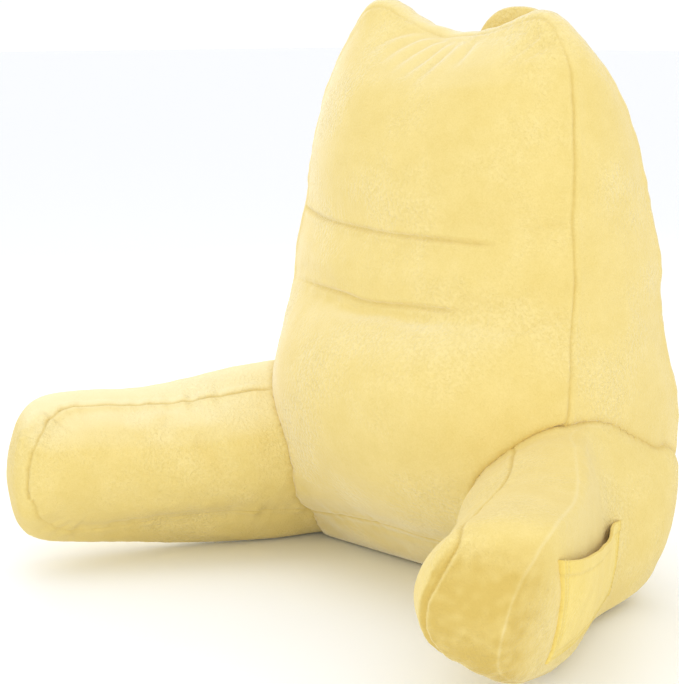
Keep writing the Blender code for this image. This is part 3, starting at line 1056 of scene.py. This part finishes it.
def pocketSheet(name, side, arm, cut):
    # a patch on the arm's outer side: sewn down along three edges, loose and a little open at its mouth
    surface = treeOf(arm)
    columns, rows = pockets["columns"], pockets["rows"]
    wide, high, narrow = pockets["wide"], pockets["high"], pockets["rowWidth"]
    front = smoothLine([(0, *p) for p in cut["front"][::-1]], step=0.001)
    rear = smoothLine([(0, *p) for p in cut["rear"][::-1]], step=0.001)
    outer, inner, marks = [], [], []
    spots, leans = np.empty((rows + 1, columns + 1, 3)), np.empty((rows + 1, columns + 1, 3))
    for j in range(rows + 1):
        up = j / rows
        a, b = front[round(up * (len(front) - 1))], rear[round(up * (len(rear) - 1))]
        for i in range(columns + 1):
            across = i / columns
            _, y, z = a + (b - a) * across
            z -= cut["dip"] * (1 - (2 * across - 1) ** 2) * up
            spot, normal, _, _ = surface.ray_cast(Vector((side * 0.6, y, z)), Vector((-side, 0, 0)))
            spots[j, i], leans[j, i] = spot, normal
    # the cloth spans the small hollows of the arm under it
    for turn in range(pockets["span"]):
        for grid in (spots, leans):
            beside = grid[1:-1, :-2] + grid[1:-1, 2:]
            overUnder = grid[:-2, 1:-1] + grid[2:, 1:-1]
            grid[1:-1, 1:-1] = (grid[1:-1, 1:-1] * 2 + overUnder + beside) / 6
            grid[-1, 1:-1] = (grid[-1, 1:-1] * 2 + grid[-1, :-2] + grid[-1, 2:]) / 4
    leans /= np.linalg.norm(leans, axis=2)[:, :, None]
    for j in range(rows + 1):
        up = j / rows
        for i in range(columns + 1):
            across = i / columns
            spot, normal = spots[j, i], leans[j, i]
            edge = min(across * wide, (1 - across) * wide, up * high)
            below = (1 - up) * high
            turned = math.sqrt(max(0.0, 1 - (1 - min(1, edge / pockets["turn"])) ** 2))
            loose = (1 - (2 * across - 1) ** 4) * up ** 1.4
            wave = noise.noise(Vector((spot[1] * 30 + spot[2] * 18, spot[2] * 16, side * 2.0)))
            wrinkle = pockets["wrinkle"] * wave * turned * (0.4 + up)
            stand = pockets["gap"] + pockets["mouth"] * loose + wrinkle
            stand = max(stand, pockets["gap"] / 2) - pockets["sinkEdge"] * (1 - turned)
            hem = 1.0 + pockets["hemThicker"] / (1 + math.exp((below - pockets["hem"]) / pockets["hemBlend"]))
            row = bump(edge - pockets["outerRow"], narrow) + bump(edge - pockets["innerRow"], narrow)
            row = max(row, bump(below - pockets["hem"], narrow))
            roll = pockets["roll"] * bump(edge - pockets["rollPlace"], pockets["rollWidth"])
            thick = pockets["thick"] * (hem + roll) * turned - pockets["rowDepth"] * row
            inner.append(spot + normal * stand)
            outer.append(spot + normal * (stand + max(thick, 0.0002 * turned)))
            # a little deeper in colour all over, darker along the stitch rows, and painted shade where the
            # edge turns down onto the arm
            tone = pockets["tone"] + pockets["rowTone"] * min(1, row) + pockets["edgeShade"] * (1 - turned)
            marks.append(tone)
    width = columns + 1
    count = width * (rows + 1)
    faces = []
    for j in range(rows):
        for i in range(columns):
            quad = (j * width + i, j * width + i + 1, (j + 1) * width + i + 1, (j + 1) * width + i)
            faces.append(quad if side > 0 else quad[::-1])
            back = tuple(count + k for k in quad[::-1])
            faces.append(back if side > 0 else back[::-1])
    rim = list(range(width)) + [j * width + columns for j in range(1, rows + 1)]
    rim += [rows * width + i for i in range(columns - 1, -1, -1)]
    rim += [j * width for j in range(rows - 1, 0, -1)]
    for k, l in zip(rim, rim[1:] + rim[:1]):
        quad = (l, k, count + k, count + l)
        faces.append(quad if side > 0 else quad[::-1])
    mesh = bpy.data.meshes.new(name)
    mesh.from_pydata([tuple(v) for v in outer + inner], [], faces)
    work = bmesh.new()
    work.from_mesh(mesh)
    bmesh.ops.remove_doubles(work, verts=work.verts, dist=0.00002)
    work.normal_update()
    bmesh.ops.recalc_face_normals(work, faces=work.faces)
    work.to_mesh(mesh)
    work.free()
    piece = newPiece(name, mesh)
    rounding = piece.modifiers.new("roundedMouth", "BEVEL")
    rounding.width = pockets["rounding"]
    rounding.segments = 2
    rounding.limit_method = "ANGLE"
    rounding.angle_limit = math.radians(50)
    bakeModifiers(piece)
    finder = KDTree(len(outer))
    for i, p in enumerate(outer):
        finder.insert(p, i)
    finder.balance()
    for mark in ("sewn", "paintedHighlight"):
        layer = piece.data.attributes.new(mark, "FLOAT", "POINT")
        if mark == "sewn":
            layer.data.foreach_set("value", [marks[finder.find(v.co)[1]] for v in piece.data.vertices])
    piece.data.shade_smooth()
    grid = np.array(outer).reshape(rows + 1, width, 3)
    paths = []
    for inset in (pockets["outerRow"], pockets["innerRow"]):
        paths.append(grid[round(inset / high * rows):, round(inset / wide * columns)])
    paths.append(grid[rows - round(pockets["hem"] / high * rows), 2:-2])
    paths.append(grid[round(pockets["sunkRow"] / high * rows), 2:-2])
    paths.append(grid[2:, -1 - round(pockets["sunkRow"] / wide * columns)])
    flat = (float(np.linalg.norm(np.diff(grid[rows // 2], axis=0), axis=1).sum()),
            float(np.linalg.norm(np.diff(grid[:, columns // 2], axis=0), axis=1).sum()))
    area = float(sum(np.linalg.norm(np.cross(grid[j + 1, i] - grid[j, i], grid[j, i + 1] - grid[j, i]))
                     for j in range(rows) for i in range(columns)))
    return piece, paths, flat, area


for name, side, arm, cut, node in (("rightPocket", 1, armRight, rightCut, "phone_pocket"),
                                   ("leftPocket", -1, armLeft, leftCut, "tablet_pocket")):
    pocket, paths, flat, area = pocketSheet(name, side, arm, cut)
    finishPiece(pocket, None, node, material=pocketYellow)
    rows = stitchRows(name + "Stitches", paths)
    print(name, "flat size", [round(f, 4) for f in flat], "area", round(area, 5))
print("stage: pockets")
